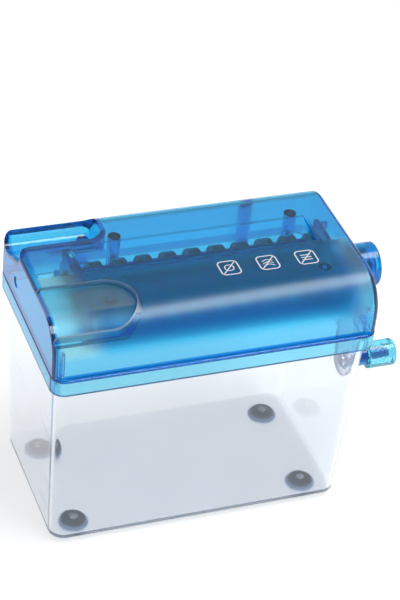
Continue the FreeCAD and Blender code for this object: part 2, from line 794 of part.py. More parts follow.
def crankKnob():
    knob = rodX(knobR, knobStartX, knobEndX, knobY, knobZ)
    for x, radius in ((knobEndX, knobEdgeR), (knobStartX, knobInnerEdgeR)):
        rim = edgesWhere(knob, lambda e: all(abs(v.X - x) < 1e-4 for v in e.Vertexes))
        knob = knob.makeFillet(radius, rim)
    room = fuseAll([
        rodX(knobPinR + runFit, knobStartX, knobBearingEndX + runFit, knobY, knobZ),
        rodX(knobNeckR, knobStartX, knobNeckEndX, knobY, knobZ),
        rodX(knobPocketR, knobNeckEndX, knobNeckEndX + knobPocketLength, knobY, knobZ),
    ])
    return knob.cut(room)


def write(node, solids):
    shape = solids[0] if len(solids) == 1 else Part.Compound(solids)
    shape = shape.copy()
    shape.translate(placeInFrame)
    shape.exportStep("parts/" + node + ".step")
    print(node, len(shape.Solids), shape.isValid())


def main():
    os.makedirs("parts", exist_ok=True)
    write("bin_shell", [binShell()])
    write("rubber_feet", [rubberFoot(x, y) for x, y in footPlaces()])
    write("foot_rivets", [footRivet(x, y) for x, y in footPlaces()])
    write("top_cover", [topCover()])
    write("left_side_plate", [sidePlate(leftPlateIn, -1)])
    write("right_side_plate", [sidePlate(rightPlateIn, 1)])
    for end, innerX, side in (("left", leftPlateIn, -1), ("right", rightPlateIn, 1)):
        write("front_" + end + "_bush", [bush(innerX, side, frontAxisY)])
        write("rear_" + end + "_bush", [bush(innerX, side, rearAxisY)])
    write("front_comb", [comb(plateFrontY, frontBarRear, nipY - combNipGap, 1)])
    write("rear_comb", [comb(rearBarFront, plateRearY, nipY + combNipGap, 2)])
    write("tie_screws", tieScrews())
    write("comb_screws", combScrews())
    write("front_shaft", [frontShaft()])
    write("front_cutter_discs", discs(0, frontAxisY))
    write("front_spacers", spacers(0, frontAxisY))
    write("front_gear", [gear(frontAxisY, 0)])
    write("front_clip", [clip(-1, frontAxisY)])
    write("crank_sleeve", [crankSleeve()])
    write("crank_hub", [crankHub()])
    write("crank_arm", [crankArm()])
    write("crank_screw", [crankScrew()])
    write("knob_pin", [knobPin()])
    write("crank_knob", [crankKnob()])
    write("rear_shaft", [rearShaft()])
    write("rear_cutter_discs", discs(1, rearAxisY))
    write("rear_spacers", spacers(1, rearAxisY))
    write("rear_gear", [gear(rearAxisY, math.pi / gearTeeth)])
    write("rear_clips", [clip(-1, rearAxisY), clip(1, rearAxisY)])


main()
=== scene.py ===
import math

import bmesh
import bpy
from mathutils import Matrix, Vector


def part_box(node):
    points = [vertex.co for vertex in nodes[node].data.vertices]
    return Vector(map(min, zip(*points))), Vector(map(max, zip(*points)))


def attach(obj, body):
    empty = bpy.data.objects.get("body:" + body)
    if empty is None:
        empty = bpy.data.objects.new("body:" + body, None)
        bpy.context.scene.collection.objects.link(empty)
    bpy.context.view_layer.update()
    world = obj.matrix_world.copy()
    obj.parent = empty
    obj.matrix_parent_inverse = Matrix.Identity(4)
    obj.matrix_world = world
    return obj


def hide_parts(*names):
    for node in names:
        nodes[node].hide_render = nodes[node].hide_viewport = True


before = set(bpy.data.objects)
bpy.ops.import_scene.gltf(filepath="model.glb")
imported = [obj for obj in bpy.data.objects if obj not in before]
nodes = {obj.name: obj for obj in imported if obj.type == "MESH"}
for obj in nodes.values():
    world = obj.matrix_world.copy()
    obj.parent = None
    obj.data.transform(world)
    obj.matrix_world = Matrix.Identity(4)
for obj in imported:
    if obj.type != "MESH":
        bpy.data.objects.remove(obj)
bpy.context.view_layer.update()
print("frame loaded:", len(nodes), "CAD nodes")


def link(tree, a, b):
    tree.links.new(a, b)


def feed(tree, value, socket):
    # another node's output is linked, and anything else is set on the socket
    if isinstance(value, bpy.types.NodeSocket):
        link(tree, value, socket)
    else:
        socket.default_value = value


def put(tree, kind, **values):
    # a node with its inputs filled by name, with an underscore for a space
    node = tree.nodes.new(kind)
    for label, value in values.items():
        feed(tree, value, node.inputs[label.replace("_", " ")])
    return node


def mathNode(tree, kind, a, b=None, c=None):
    node = tree.nodes.new("ShaderNodeMath")
    node.operation = kind
    for socket, value in zip(node.inputs, (a, b, c)):
        if value is not None:
            feed(tree, value, socket)
    return node.outputs["Value"]


def product(tree, first, *others):
    for value in others:
        first = mathNode(tree, "MULTIPLY", first, value)
    return first


def rampNode(tree, value, start, end):
    # 0 at the start, 1 at the end, with soft shoulders
    node = put(tree, "ShaderNodeMapRange", Value=value, From_Min=start, From_Max=end)
    node.interpolation_type = "SMOOTHSTEP"
    return node.outputs["Result"]


def noiseNode(tree, vector, scale, detail):
    return put(tree, "ShaderNodeTexNoise", Vector=vector, Scale=scale, Detail=detail).outputs["Fac"]


def mixValue(tree, factor, a, b):
    return put(tree, "ShaderNodeMix", Factor=factor, A=a, B=b).outputs["Result"]


def mixColour(tree, factor, a, b):
    node = tree.nodes.new("ShaderNodeMix")
    node.data_type = "RGBA"
    for label, value in (("Factor", factor), ("A", a), ("B", b)):
        feed(tree, value, node.inputs[label])
    return node.outputs["Result"]


def makeGroup(name, inputs, outputs):
    group = bpy.data.node_groups.new(name, "ShaderNodeTree")
    for label, kind, value in [("Vector", "NodeSocketVector", None)] + inputs:
        socket = group.interface.new_socket(name=label, in_out="INPUT", socket_type=kind)
        if value is not None:
            socket.default_value = value
    for label, kind in outputs:
        group.interface.new_socket(name=label, in_out="OUTPUT", socket_type=kind)
    return group, group.nodes.new("NodeGroupInput").outputs, group.nodes.new("NodeGroupOutput").inputs


def placeGroup(tree, group, vector, **values):
    node = tree.nodes.new("ShaderNodeGroup")
    node.node_tree = group
    for label, value in {"Vector": vector, **values}.items():
        feed(tree, value, node.inputs[label.replace("_", " ")])
    return node.outputs


def newObject(name, mesh, material=None, body=None, smooth=None):
    obj = bpy.data.objects.new(name, mesh)
    bpy.context.scene.collection.objects.link(obj)
    if material is not None:
        mesh.materials.clear()
        mesh.materials.append(material)
    if smooth is not None:
        for face in mesh.polygons:
            face.use_smooth = True
        mesh.set_sharp_from_angle(angle=math.radians(smooth))
    if body is not None:
        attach(obj, body)
    return obj


wearSizes = {  # handling marks on clear plastic; a depth is in metres
    "smearDetail": 4.0, "smearFrom": 0.45, "smearTo": 0.75,
    "scratchDetail": 2.0, "scratchFrom": 0.66, "scratchTo": 0.72, "scratchRoughness": 0.10,
    "scratchTurn": (0.3, 0.5, 0.7), "scratchStretch": (1.0, 0.06, 0.35),
    "scratchDepth": 0.00001, "scratchStrength": 0.4,
}


def handlingMarksGroup():
    # soft smears and fine hairline scratches of handled glossy plastic
    group, given, out = makeGroup("handlingMarks", [
        ("Smear Scale", "NodeSocketFloat", 22.0),
        ("Scratch Scale", "NodeSocketFloat", 260.0),
        ("Base Roughness", "NodeSocketFloat", 0.06),
        ("Smear Amount", "NodeSocketFloat", 0.08),
    ], [("Roughness", "NodeSocketFloat"), ("Height", "NodeSocketFloat"), ("Mask", "NodeSocketFloat")])
    wear = wearSizes
    smearNoise = noiseNode(group, given["Vector"], given["Smear Scale"], wear["smearDetail"])
    smears = put(group, "ShaderNodeMapRange", Value=smearNoise, From_Min=wear["smearFrom"],
                 From_Max=wear["smearTo"]).outputs["Result"]
    stretched = put(group, "ShaderNodeMapping", Vector=given["Vector"], Rotation=wear["scratchTurn"],
                    Scale=wear["scratchStretch"]).outputs["Vector"]
    scratchNoise = noiseNode(group, stretched, given["Scratch Scale"], wear["scratchDetail"])
    scratches = put(group, "ShaderNodeMapRange", Value=scratchNoise, From_Min=wear["scratchFrom"],
                    From_Max=wear["scratchTo"]).outputs["Result"]
    smeared = mathNode(group, "MULTIPLY_ADD", smears, given["Smear Amount"], given["Base Roughness"])
    scratched = mathNode(group, "MULTIPLY_ADD", scratches, wear["scratchRoughness"], smeared)
    link(group, scratched, out["Roughness"])
    link(group, scratches, out["Height"])
    link(group, smears, out["Mask"])
    return group


turnedSizes = {"stretch": (1.0, 0.02, 0.02), "lineDetail": 3.0, "blotchScale": 140.0, "blotchDetail": 5.0}


def turnedLinesGroup():
    # tool lines left round the X axis by a lathe, over a soft blotch
    group, given, out = makeGroup("turnedLines", [
        ("Line Scale", "NodeSocketFloat", 900.0),
        ("Roughness", "NodeSocketFloat", 0.3),
        ("Spread", "NodeSocketFloat", 0.15),
    ], [("Roughness", "NodeSocketFloat"), ("Height", "NodeSocketFloat"), ("Mask", "NodeSocketFloat")])
    stretched = put(group, "ShaderNodeMapping", Vector=given["Vector"], Scale=turnedSizes["stretch"])
    lines = noiseNode(group, stretched.outputs["Vector"], given["Line Scale"], turnedSizes["lineDetail"])
    blotch = noiseNode(group, given["Vector"], turnedSizes["blotchScale"], turnedSizes["blotchDetail"])
    both = product(group, lines, blotch)
    rough = mathNode(group, "MULTIPLY_ADD", both, given["Spread"], given["Roughness"])
    link(group, rough, out["Roughness"])
    link(group, lines, out["Height"])
    link(group, blotch, out["Mask"])
    return group


handlingMarks = handlingMarksGroup()
turnedLines = turnedLinesGroup()

zoneInputs = [("Roughness", "NodeSocketFloat", 0.05), ("Color", "NodeSocketColor", (1, 1, 1, 1))]
zoneOutputs = [("Roughness", "NodeSocketFloat"), ("Color", "NodeSocketColor")]

coverLow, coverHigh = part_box("top_cover")
coverZoneSizes = {  # metres; a pair is where an edge starts and ends
    "frontFace": coverLow[1] + 0.00225, "curve": 0.0205, "wall": 0.0024,
    "outerShare": 0.4, "innerShare": 0.9,  # shares of the wall, from its outer to its inner face
    "satinInside": 0.55, "satinOutside": 0.26, "satinEdge": 0.006, "satinDepth": (0.0016, 0.0010),
    "satinEnds": (0.0025, 0.0045), "satinFace": (-0.001, 0.006),
    "slotFront": (-0.0030, -0.0048), "slotRear": (0.0018, 0.0032),
    "rearInside": 0.20, "rearOutside": 0.06, "underTop": (0.0005, 0.0001),
    "plateLeft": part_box("left_side_plate")[1][0], "plateRight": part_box("right_side_plate")[0][0],
    # painted shade: deep blue over the cutters; painted light: paler beyond the plates
    "cutterShadeColour": (0.012, 0.64, 1.0, 1), "beyondPlatesLight": (0.84, 0.96, 1.0, 1),
    "skirtTop": (0.0090, 0.0075), "skirtColour": (0.60, 0.88, 0.99, 1),
    # painted shade: the end walls are painted a deeper blue
    "endWallShade": (0.0045, 0.0030), "endShadeColour": (0.02, 0.42, 0.78, 1), "endSkirtShare": 0.55, "endFade": 0.001,
    "ledge": coverHigh[2] - 0.0289, "ledgeUnder": (0.0012, 0.0008), "ledgeOver": (0.0007, 0.0003),
    # painted shade: a deep blue line along the ledge
    "ledgeShadeColour": (0.004, 0.17, 0.66, 1),
    "recessFloor": coverHigh[2] - 0.0025, "recessUnder": (0.0009, 0.0004), "recessTop": (0.0001, 0.0004),
    "recessEnd": (0.0460, 0.0440), "recessFront": (0.0045, 0.0055), "recessRear": (-0.0115, -0.0130),
    "recessRough": 0.46, "recessColour": (0.30, 0.90, 1.0, 1), "recessVeil": 0.9,
    "recessLength": 0.045, "recessWidth": 0.0285, "recessGap": 0.005,
    "rimWidth": 0.00075, "rimOut": 0.0001, "rimDepth": (0.0019, 0.0014), "rimFade": 0.004,
    # painted highlight: the pale line round the recess rim
    "rimHighlightColour": (0.92, 0.97, 1.0, 1), "rimRough": 0.5,
}


def coverZonesGroup():
    # satin over the cutters in front of the slot, milky in the thumb recess, polished elsewhere; painted
    # shade over the cutters, along the ledge and on the end walls, painted light beyond the plates and a
    # painted highlight round the recess
    group, given, out = makeGroup("coverZones", zoneInputs, zoneOutputs + [("Veil", "NodeSocketFloat")])
    sizes = coverZoneSizes
    split = put(group, "ShaderNodeSeparateXYZ", Vector=given["Vector"])
    x, y, z = (split.outputs[axis] for axis in "XYZ")

    def ramp(value, pair, offset=0.0, sign=1):
        return rampNode(group, value, offset + sign * pair[0], offset + sign * pair[1])

    def times(*values):
        return product(group, *values)

    def calc(kind, a, b=None, c=None):
        return mathNode(group, kind, a, b, c)

    def length(a, b):
        return calc("SQRT", calc("ADD", times(a, a), times(b, b)))

    left, right, bottom, top = coverLow[0], coverHigh[0], coverLow[2], coverHigh[2]
    wall, curve = sizes["wall"], sizes["curve"]
    # depth below the outside of the curved front
    centreY = sizes["frontFace"] + curve
    centreZ = top - curve
    forward = calc("MAXIMUM", calc("SUBTRACT", centreY, y), 0.0)
    upward = calc("MAXIMUM", calc("SUBTRACT", z, centreZ), 0.0)
    depth = calc("SUBTRACT", curve, length(forward, upward))
    inside = rampNode(group, depth, wall * sizes["outerShare"], wall * sizes["innerShare"])
    # satin in front of the slot; painted shade makes it deep blue where it is over the cutters, and painted
    # light makes it paler beyond the plates
    ends = times(ramp(x, sizes["satinEnds"], left), ramp(x, sizes["satinEnds"], right, -1))
    satinZone = times(ends, ramp(y, sizes["slotFront"]), ramp(z, sizes["satinFace"], centreZ),
                      ramp(depth, sizes["satinDepth"], wall))
    edge = sizes["satinEdge"]
    betweenPlates = times(rampNode(group, x, sizes["plateLeft"] - edge, sizes["plateLeft"] + edge),
                          rampNode(group, x, sizes["plateRight"] + edge, sizes["plateRight"] - edge))
    cutterShadeZone = times(satinZone, betweenPlates)
    satinMore = sizes["satinInside"] - sizes["satinOutside"]
    satin = calc("MULTIPLY_ADD", inside, satinMore, sizes["satinOutside"])
    # behind the slot the top is only lightly satin
    rearZone = times(ramp(y, sizes["slotRear"]), ends, ramp(z, sizes["underTop"], top - wall, -1))
    rearFace = rampNode(group, z, top - wall * sizes["outerShare"], top - wall * sizes["innerShare"])
    rearMore = sizes["rearInside"] - sizes["rearOutside"]
    rearSatin = calc("MULTIPLY_ADD", rearFace, rearMore, sizes["rearOutside"])
    # the recess is a flat floor just below the top
    recess = times(ramp(x, sizes["recessEnd"], left), ramp(y, sizes["recessFront"], sizes["frontFace"]),
                   ramp(y, sizes["recessRear"]), ramp(z, sizes["recessTop"], top, -1),
                   ramp(z, sizes["recessUnder"], sizes["recessFloor"], -1))
    # painted highlight: a pale line round the rim of the recess
    rimRadius = sizes["recessWidth"] / 2
    rimX = calc("MAXIMUM", calc("SUBTRACT", x, left + sizes["recessLength"] - rimRadius), 0.0)
    rimY = calc("SUBTRACT", y, sizes["frontFace"] + sizes["recessGap"] + rimRadius)
    offRim = calc("ABSOLUTE", calc("SUBTRACT", length(rimX, rimY), rimRadius + sizes["rimOut"]))
    rim = times(rampNode(group, offRim, sizes["rimWidth"], sizes["rimWidth"] * sizes["outerShare"]),
                ramp(depth, sizes["rimDepth"]), rampNode(group, z, centreZ, centreZ + sizes["rimFade"]))
    # painted shade: the ledge is a deep blue line along its length, and the end walls are painted deeper than
    # the front
    skirt = ramp(z, sizes["skirtTop"], bottom)
    aboveLedge = rampNode(group, z, sizes["ledge"] - sizes["endFade"], sizes["ledge"] + sizes["endFade"])
    endWallShade = times(ramp(x, sizes["endWallShade"], left),
                    calc("MULTIPLY_ADD", aboveLedge, 1 - sizes["endSkirtShare"], sizes["endSkirtShare"]))
    ledge = times(ramp(z, sizes["ledgeUnder"], sizes["ledge"], -1),
                  ramp(z, sizes["ledgeOver"], sizes["ledge"]))
    rough = given["Roughness"]
    for zone, value in ((rearZone, rearSatin), (satinZone, satin), (recess, sizes["recessRough"]),
                        (rim, sizes["rimRough"])):
        rough = mixValue(group, zone, rough, value)
    colour = given["Color"]
    for zone, name in ((skirt, "skirtColour"), (endWallShade, "endShadeColour"), (ledge, "ledgeShadeColour"),
                       (calc("SUBTRACT", satinZone, cutterShadeZone), "beyondPlatesLight"), (cutterShadeZone, "cutterShadeColour"),
                       (recess, "recessColour"), (rim, "rimHighlightColour")):
        colour = mixColour(group, zone, colour, sizes[name])
    link(group, rough, out["Roughness"])
    link(group, colour, out["Color"])
    link(group, calc("MAXIMUM", times(recess, sizes["recessVeil"]), rim), out["Veil"])
    return group


def bandGroup(name, axis, start, end, roughMore, bandColour):
    # a band across one axis that is rougher and another colour
    group, given, out = makeGroup(name, zoneInputs, zoneOutputs)
    split = put(group, "ShaderNodeSeparateXYZ", Vector=given["Vector"])
    band = rampNode(group, split.outputs[axis], start, end)
    link(group, mathNode(group, "MULTIPLY_ADD", band, roughMore, given["Roughness"]), out["Roughness"])
    link(group, mixColour(group, band, given["Color"], bandColour), out["Color"])
    return group


coverZones = coverZonesGroup()

armZoneSizes = {  # the collar beside the knob is blue
    "collarStart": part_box("crank_arm")[1][0] - 0.0074, "fade": 0.0006, "collarRough": 0.05,
    "collarColour": (0.02, 0.34, 0.85, 1),
}
armZones = bandGroup("armZones", "X", armZoneSizes["collarStart"],
                     armZoneSizes["collarStart"] + armZoneSizes["fade"],
                     armZoneSizes["collarRough"], armZoneSizes["collarColour"])

binZoneSizes = {  # the bottom edge is rubbed dull where it is set down, and tinted blue-grey as painted shade
    "bottom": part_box("bin_shell")[0][2], "edgeHeight": 0.0016, "edgeStart": 0.6, "edgeRough": 0.36,
    # painted shade: blue-grey tint on the bottom edge and floor of the bin
    "edgeShadeTint": (0.90, 0.95, 1.0, 1),
}
binZones = bandGroup("binZones", "Z", binZoneSizes["bottom"] + binZoneSizes["edgeHeight"],
                     binZoneSizes["bottom"] + binZoneSizes["edgeHeight"] * binZoneSizes["edgeStart"],
                     binZoneSizes["edgeRough"], binZoneSizes["edgeShadeTint"])


def startMaterial(name):
    material = bpy.data.materials.new(name)
    material.use_nodes = True
    tree = material.node_tree
    tree.nodes.clear()
    out = tree.nodes.new("ShaderNodeOutputMaterial")
    shader = tree.nodes.new("ShaderNodeBsdfPrincipled")
    link(tree, shader.outputs["BSDF"], out.inputs["Surface"])
    return material, tree, out.inputs, shader.inputs, tree.nodes.new("ShaderNodeTexCoord").outputs["Object"]


def addBump(tree, height, shader, distance, strength=1.0):
    bump = put(tree, "ShaderNodeBump", Strength=strength, Distance=distance, Height=height)
    link(tree, bump.outputs["Normal"], shader["Normal"])


def clearPlastic(name, look, zones=None):
    # see-through plastic: a tint at each face and more tint with depth
    material, tree, out, shader, place = startMaterial(name)
    shader["Transmission Weight"].default_value = look["transmission"]
    shader["IOR"].default_value = look["ior"]
    marks = placeGroup(tree, handlingMarks, place, Base_Roughness=look["roughness"],
                       Smear_Amount=look["smears"])
    addBump(tree, marks["Height"], shader, wearSizes["scratchDepth"], wearSizes["scratchStrength"])
    rough = marks["Roughness"]
    colour = mixColour(tree, marks["Mask"], look["face"], look["faceSmeared"])
    if zones is not None:
        zone = placeGroup(tree, zones, place, Roughness=rough, Color=colour)
        rough, colour = zone["Roughness"], zone["Color"]
        if "Veil" in zone:
            link(tree, zone["Veil"], shader["Coat Weight"])
            shader["Coat Roughness"].default_value = look["veilRoughness"]
            shader["Coat IOR"].default_value = look["veilIor"]
    link(tree, rough, shader["Roughness"])
    link(tree, colour, shader["Base Color"])
    absorb = put(tree, "ShaderNodeVolumeAbsorption", Color=look["absorbColour"],
                 Density=look["absorbDensity"])
    link(tree, absorb.outputs["Volume"], out["Volume"])
    return material


grainDetail = 3.0
cloudDetail = 4.0


def solidPlastic(name, look):
    # opaque moulded plastic or rubber with a fine grain
    material, tree, out, shader, place = startMaterial(name)
    grain = noiseNode(tree, place, look["grainScale"], grainDetail)
    cloud = noiseNode(tree, place, look["cloudScale"], cloudDetail)
    colour = mixColour(tree, cloud, look["colour"], look["colourWorn"])
    if "flangeTop" in look:
        # paler below this height
        height = put(tree, "ShaderNodeSeparateXYZ", Vector=place).outputs["Z"]
        flange = rampNode(tree, height, look["flangeTop"] + look["flangeFade"], look["flangeTop"])
        colour = mixColour(tree, flange, colour, look["flangeColour"])
    rough = put(tree, "ShaderNodeMapRange", Value=cloud, To_Min=look["roughness"] - look["roughSpread"],
                To_Max=look["roughness"] + look["roughSpread"])
    link(tree, colour, shader["Base Color"])
    link(tree, rough.outputs["Result"], shader["Roughness"])
    addBump(tree, grain, shader, look["grainDepth"])
    return material


def turnedMetal(name, look):
    material, tree, out, shader, place = startMaterial(name)
    shader["Metallic"].default_value = 1.0
    lines = placeGroup(tree, turnedLines, place, Line_Scale=look["lineScale"], Roughness=look["roughness"],
                       Spread=look["roughSpread"])
    link(tree, lines["Roughness"], shader["Roughness"])
    link(tree, mixColour(tree, lines["Mask"], look["colour"], look["colourWorn"]), shader["Base Color"])
    addBump(tree, lines["Height"], shader, look["lineDepth"])
    return material


clearLook = {  # bin: water-clear styrene
    "transmission": 1.0, "ior": 1.49, "roughness": 0.015, "smears": 0.03,
    "face": (0.955, 0.965, 0.985, 1), "faceSmeared": (0.93, 0.945, 0.97, 1),
    "absorbColour": (0.15, 0.55, 1.0, 1), "absorbDensity": 7.0,
}
coverLook = {  # cover: translucent cyan-blue with a slight milk in it
    "transmission": 0.93, "ior": 1.49, "roughness": 0.03, "smears": 0.05,
    "face": (0.33, 0.72, 0.97, 1), "faceSmeared": (0.37, 0.74, 0.97, 1),
    "absorbColour": (0.0, 0.87, 0.965, 1), "absorbDensity": 380.0,
    "veilRoughness": 0.42, "veilIor": 1.9,
}
plateLook = dict(coverLook, roughness=0.18, transmission=0.80, face=(0.20, 0.60, 0.95, 1))
hubLook = dict(coverLook, roughness=0.17, face=(0.04, 0.52, 0.97, 1), faceSmeared=(0.05, 0.54, 0.97, 1),
               absorbDensity=160.0)
armLook = dict(clearLook, roughness=0.12, transmission=0.85, face=(0.86, 0.89, 0.98, 1),
               faceSmeared=(0.82, 0.86, 0.96, 1))
knobLook = dict(coverLook, roughness=0.05, face=(0.52, 0.88, 0.98, 1), absorbDensity=80.0)

finishes = {
    "clearBin": clearPlastic("clearBin", clearLook, binZones),
    "coverBlue": clearPlastic("coverBlue", coverLook, coverZones),
    "plateBlue": clearPlastic("plateBlue", plateLook),
    "hubBlue": clearPlastic("hubBlue", hubLook),
    "armClear": clearPlastic("armClear", armLook, armZones),
    "knobCyan": clearPlastic("knobCyan", knobLook),
}
solidLooks = {
    "pinBlue": {
        "colour": (0.003, 0.13, 0.60, 1), "colourWorn": (0.006, 0.17, 0.66, 1), "roughness": 0.22,
        "roughSpread": 0.06, "grainScale": 900.0, "grainDepth": 0.00001, "cloudScale": 60.0},
    "footRubber": {
        "colour": (0.02, 0.08, 0.15, 1), "colourWorn": (0.04, 0.12, 0.20, 1), "roughness": 0.62,
        "roughSpread": 0.12, "grainScale": 1400.0, "grainDepth": 0.00006, "cloudScale": 90.0,
        "flangeTop": 0.0020, "flangeFade": 0.0002, "flangeColour": (0.42, 0.62, 0.90, 1)},
    "rivetNylon": {
        "colour": (0.62, 0.66, 0.70, 1), "colourWorn": (0.50, 0.54, 0.58, 1), "roughness": 0.45,
        "roughSpread": 0.08, "grainScale": 1200.0, "grainDepth": 0.00002, "cloudScale": 90.0},
    "combPlastic": {
        "colour": (0.004, 0.11, 0.58, 1), "colourWorn": (0.010, 0.15, 0.64, 1), "roughness": 0.38,
        "roughSpread": 0.08, "grainScale": 1100.0, "grainDepth": 0.00003, "cloudScale": 70.0},
    "spacerPlastic": {
        "colour": (0.004, 0.04, 0.26, 1), "colourWorn": (0.008, 0.06, 0.33, 1), "roughness": 0.42,
        "roughSpread": 0.08, "grainScale": 1100.0, "grainDepth": 0.00003, "cloudScale": 70.0},
    "gearPlastic": {
        "colour": (0.72, 0.71, 0.65, 1), "colourWorn": (0.60, 0.60, 0.55, 1), "roughness": 0.40,
        "roughSpread": 0.08, "grainScale": 1200.0, "grainDepth": 0.00002, "cloudScale": 80.0},
    "markInk": {
        "colour": (0.93, 0.95, 0.97, 1), "colourWorn": (0.82, 0.87, 0.92, 1), "roughness": 0.42,
        "roughSpread": 0.1, "grainScale": 1800.0, "grainDepth": 0.000005, "cloudScale": 260.0},
}
metalLooks = {
    "cutterSteel": {
        "colour": (0.09, 0.11, 0.15, 1), "colourWorn": (0.17, 0.19, 0.24, 1), "roughness": 0.30,
        "roughSpread": 0.25, "lineScale": 3000.0, "lineDepth": 0.00004},
    "shaftSteel": {
        "colour": (0.44, 0.45, 0.47, 1), "colourWorn": (0.55, 0.56, 0.58, 1), "roughness": 0.18,
        "roughSpread": 0.2, "lineScale": 4200.0, "lineDepth": 0.00002},
    "screwSteel": {
        "colour": (0.60, 0.62, 0.66, 1), "colourWorn": (0.74, 0.75, 0.78, 1), "roughness": 0.14,
        "roughSpread": 0.2, "lineScale": 2600.0, "lineDepth": 0.00002},
    "clipSteel": {
        "colour": (0.10, 0.10, 0.11, 1), "colourWorn": (0.20, 0.20, 0.21, 1), "roughness": 0.32,
        "roughSpread": 0.2, "lineScale": 2600.0, "lineDepth": 0.00002},
    "bushBrass": {
        "colour": (0.52, 0.36, 0.12, 1), "colourWorn": (0.68, 0.50, 0.22, 1), "roughness": 0.24,
        "roughSpread": 0.2, "lineScale": 3200.0, "lineDepth": 0.00003},
}
for name, look in solidLooks.items():
    finishes[name] = solidPlastic(name, look)
for name, look in metalLooks.items():
    finishes[name] = turnedMetal(name, look)

finishNodes = {  # which CAD nodes have each finish
    "clearBin": ["bin_shell"],
    "footRubber": ["rubber_feet"],
    "rivetNylon": ["foot_rivets"],
    "coverBlue": ["top_cover"],
    "plateBlue": ["left_side_plate", "right_side_plate"],
    "bushBrass": ["front_left_bush", "front_right_bush", "rear_left_bush", "rear_right_bush"],
    "combPlastic": ["front_comb", "rear_comb"],
    "screwSteel": ["tie_screws", "comb_screws", "crank_screw"],
    "shaftSteel": ["front_shaft", "rear_shaft"],
    "cutterSteel": ["front_cutter_discs", "rear_cutter_discs"],
    "spacerPlastic": ["front_spacers", "rear_spacers"],
    "gearPlastic": ["front_gear", "rear_gear"],
    "clipSteel": ["front_clip", "rear_clips"],
    "hubBlue": ["crank_sleeve", "crank_hub"],
    "armClear": ["crank_arm"],
    "pinBlue": ["knob_pin"],
    "knobCyan": ["crank_knob"],
}
for finish, names in finishNodes.items():
    for name in names:
        slots = nodes[name].data.materials
        if not slots:
            slots.append(finishes[finish])
        for i in range(len(slots)):
            slots[i] = finishes[finish]
print("finishes on", sum(len(names) for names in finishNodes.values()), "nodes")


touch = 0.00001  # metres; points this near are at the same place
merge = 0.000002


def islandBoxes(name):
    # the box of each separate solid in a node, from left to right
    mesh = bmesh.new()
    mesh.from_mesh(nodes[name].data)
    bmesh.ops.remove_doubles(mesh, verts=mesh.verts, dist=merge)
    left = set(mesh.verts)
    found = []
    while left:
        stack = [left.pop()]
        island = list(stack)
        while stack:
            for edge in stack.pop().link_edges:
                for vert in edge.verts:
                    if vert in left:
                        left.remove(vert)
                        stack.append(vert)
                        island.append(vert)
        low = Vector([min(vert.co[i] for vert in island) for i in range(3)])
        high = Vector([max(vert.co[i] for vert in island) for i in range(3)])
        found.append((low, high))
    mesh.free()
    return sorted(found, key=lambda box: (round(box[0].x, 4), round(box[0].y, 4)))


def makeTree(name, inputs):
    tree = bpy.data.node_groups.new(name, "GeometryNodeTree")
    for label, kind in [("Geometry", "NodeSocketGeometry")] + inputs + [("Finish", "NodeSocketMaterial")]:
        tree.interface.new_socket(name=label, in_out="INPUT", socket_type=kind)
    tree.interface.new_socket(name="Geometry", in_out="OUTPUT", socket_type="NodeSocketGeometry")
    return tree, tree.nodes.new("NodeGroupInput").outputs


def endTree(tree, given, instances):
    # every tree ends in real geometry with its finish
    real = put(tree, "GeometryNodeRealizeInstances", Geometry=instances)
    finish = put(tree, "GeometryNodeSetMaterial", Geometry=real.outputs["Geometry"], Material=given["Finish"])
    put(tree, "NodeGroupOutput", Geometry=finish.outputs["Geometry"])
    return tree


def growOnPoints(name, tree, points, vectors, values, finish, body, smooth):
    # run a tree on a few points that may carry a direction each, and keep the plain mesh
    mesh = bpy.data.meshes.new(name + "_points")
    mesh.from_pydata([tuple(point) for point in points], [], [])
    for label, data in vectors.items():
        attribute = mesh.attributes.new(label, "FLOAT_VECTOR", "POINT")
        attribute.data.foreach_set("vector", [part for vector in data for part in vector])
    seed = bpy.data.objects.new(name + "_points", mesh)
    bpy.context.scene.collection.objects.link(seed)
    modifier = seed.modifiers.new("grow", "NODES")
    modifier.node_group = tree
    values = dict(values, Finish=finishes[finish])
    for item in tree.interface.items_tree:
        if item.item_type == "SOCKET" and item.in_out == "INPUT" and item.name in values:
            modifier[item.identifier] = values[item.name]
    grown = seed.evaluated_get(bpy.context.evaluated_depsgraph_get())
    plain = bpy.data.meshes.new_from_object(grown)
    plain.name = name
    seed.modifiers.remove(modifier)
    bpy.data.objects.remove(seed)
    return newObject(name, plain, finishes[finish], body, smooth)


screwSizes = {  # shares of the head's or shank's own size; pitch in metres
    "recessReach": 0.62, "recessWidth": 0.22, "recessDepth": 0.5, "crownDrop": 0.42, "crownPower": 2.6,
    "coreShare": 0.80, "threadStart": 0.82, "threadEnd": 0.78, "threadRidge": 0.17, "threadLength": 0.9,
    "threadFoot": 0.97, "pitch": 0.0009, "headEdge": 0.97,
    "headSides": 28, "headRings": 4, "headBands": 3, "coreSides": 16, "turnSteps": 14, "ridgeSides": 4,
}


